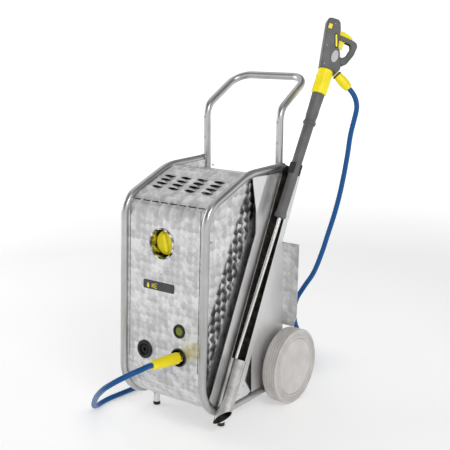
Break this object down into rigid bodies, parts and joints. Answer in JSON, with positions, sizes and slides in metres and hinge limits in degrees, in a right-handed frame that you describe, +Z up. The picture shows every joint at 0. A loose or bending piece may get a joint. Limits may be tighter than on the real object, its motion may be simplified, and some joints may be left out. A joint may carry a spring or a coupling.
{
  "type": "high-pressure cleaner",
  "caption": "Hand-pushed stainless cabinet cleaner with louvred top, tubular push handle, side lance trough, spray lance with trigger gun and a coiled high-pressure hose.",
  "frame": {"origin": "middle of the footprint on the floor, measured without the hose", "axes": "+Z up, -Y towards the control panel at the front, +X towards the side that carries the lance"},
  "size_m": [0.6114, 1.0924, 1.2703],
  "materials": {
    "frame_tube": "fine brushed stainless tube",
    "swirl_sheet": "engine-turned stainless sheet",
    "plain_sheet": "plain stainless sheet",
    "polished_steel": "polished",
    "brass": "machined",
    "cast_metal": "as cast",
    "yellow_plastic": "satin moulded",
    "black_plastic": "moulded",
    "black_rubber": "matt",
    "gun_grey": "fine grain moulded",
    "pale_plastic": "satin moulded",
    "charcoal_plastic": "moulded",
    "sight_lens": "clear moulded, tinted",
    "tyre_grey": "non-marking",
    "hub_grey": "moulded",
    "hose_blue": "satin outer cover",
    "tank_plastic": "natural moulded"
  },
  "bodies": {
    "chassis": {"left_side_tube": "frame_tube", "right_side_tube": "frame_tube", "left_upright": "frame_tube", "right_upright": "frame_tube", "push_handle": "frame_tube", "foot_frame": "frame_tube", "axle": "frame_tube", "front_cover": "swirl_sheet", "top_cover": "swirl_sheet", "left_side_panel": "swirl_sheet", "right_side_panel": "swirl_sheet", "rear_panel": "swirl_sheet", "rear_upper_panel": "swirl_sheet", "floor_pan": "plain_sheet", "rear_tray": "plain_sheet", "left_wheel_guard": "plain_sheet", "right_wheel_guard": "plain_sheet", "lance_plate": "plain_sheet", "lance_trough": "polished_steel", "switch_bowl": "polished_steel", "outlet_fitting": "brass", "pump_head": "brass", "motor_cradle": "cast_metal", "motor_housing": "cast_metal", "pump_crankcase": "cast_metal", "front_hose_union": "yellow_plastic", "sight_glass_bezel": "black_plastic", "inlet_port_ring": "black_plastic", "inlet_coupling": "black_plastic", "outlet_ring": "black_plastic", "cable_gland": "black_plastic", "left_foot_pad": "black_rubber", "right_foot_pad": "black_rubber", "lance_clip": "black_rubber", "name_plate": "charcoal_plastic", "fan_cover": "charcoal_plastic", "switch_box": "charcoal_plastic", "sight_glass_lens": "sight_lens", "hose_front": "hose_blue", "hose_rear": "hose_blue", "hose_coil": "hose_blue", "float_tank": "tank_plastic"},
    "left_wheel": {"left_tyre": "tyre_grey", "left_wheel_hub": "hub_grey"},
    "right_wheel": {"right_tyre": "tyre_grey", "right_wheel_hub": "hub_grey"},
    "switch_knob": {"switch_knob": "yellow_plastic"},
    "lance": {"lance_nozzle": "polished_steel", "lance_tube": "polished_steel", "lance_grip": "gun_grey", "gun_body": "gun_grey", "gun_side_cap": "pale_plastic", "gun_hose_union": "yellow_plastic"},
    "pressure_collar": {"pressure_collar": "yellow_plastic"},
    "gun_trigger": {"gun_trigger": "yellow_plastic"},
    "safety_latch": {"safety_latch": "yellow_plastic"},
    "motor_rotor": {"motor_shaft": "polished_steel", "motor_fan": "black_plastic"}
  },
  "joints": [
    {"name": "left_wheel_spin", "type": "hinge", "parent": "chassis", "child": "left_wheel", "pos_m": [-0.2386, 0.1447, 0.127], "axis": [1, 0, 0], "continuous": true},
    {"name": "right_wheel_spin", "type": "hinge", "parent": "chassis", "child": "right_wheel", "pos_m": [0.1654, 0.1447, 0.127], "axis": [1, 0, 0], "continuous": true},
    {"name": "switch_turn", "type": "hinge", "parent": "chassis", "child": "switch_knob", "pos_m": [-0.0446, -0.2577, 0.597], "axis": [0, -0.999, 0.0449], "range_deg": [0, 90]},
    {"name": "lance_lift", "type": "slide", "parent": "chassis", "child": "lance", "axis": [0.0438, 0.4464, 0.8938], "range_m": [0, 0.12]},
    {"name": "pressure_turn", "type": "hinge", "parent": "lance", "child": "pressure_collar", "pos_m": [0.18813, 0.27634, 1.0635], "axis": [0.0438, 0.4464, 0.8938], "range_deg": [-135, 135]},
    {"name": "trigger_pull", "type": "hinge", "parent": "lance", "child": "gun_trigger", "pos_m": [0.20079, 0.35679, 1.21403], "axis": [-0.6736, 0.6739, -0.3036], "range_deg": [0, 8], "stiffness_Nm_per_rad": 0.5, "springref_deg": -5.73},
    {"name": "latch_slide", "type": "slide", "parent": "lance", "child": "safety_latch", "axis": [0.0438, 0.4464, 0.8938], "range_m": [0, 0.004]},
    {"name": "motor_spin", "type": "hinge", "parent": "chassis", "child": "motor_rotor", "pos_m": [-0.0366, -0.0203, 0.222], "axis": [0, 1, 0], "continuous": true}
  ]
}
